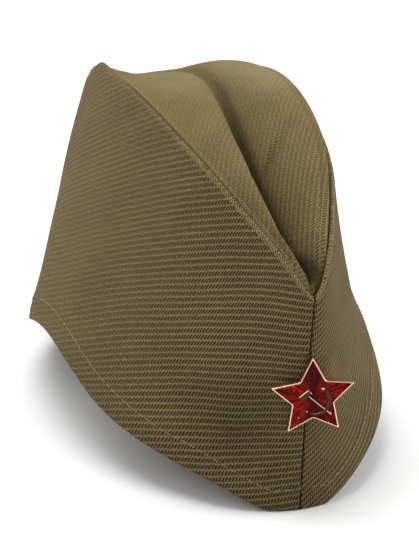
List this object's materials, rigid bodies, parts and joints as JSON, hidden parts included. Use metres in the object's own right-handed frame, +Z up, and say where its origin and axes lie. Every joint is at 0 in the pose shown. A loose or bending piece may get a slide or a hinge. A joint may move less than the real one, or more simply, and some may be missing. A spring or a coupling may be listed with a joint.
{
  "type": "garrison cap",
  "caption": "Soft cloth garrison cap, opened out, with turned-up side flaps, a folded crown and a red enamelled star badge on the front seam.",
  "frame": {"origin": "centre of the cap's box at its base, on the surface that the rim rests on", "axes": "+Y from the front seam to the back, the cap's length, +Z up, +X towards the wearer's left"},
  "size_m": [0.1182, 0.244, 0.1268],
  "materials": {
    "cloth": "matt olive-khaki cotton twill",
    "brass": "worn stamped brass",
    "enamel": "glossy translucent red enamel"
  },
  "bodies": {
    "root": {"flap_right": "cloth", "flap_left": "cloth", "crown_wall_right": "cloth", "crown_wall_left": "cloth", "crown_top": "cloth", "badge_star": "brass", "badge_enamel": "enamel", "badge_post": "brass"}
  },
  "joints": []
}
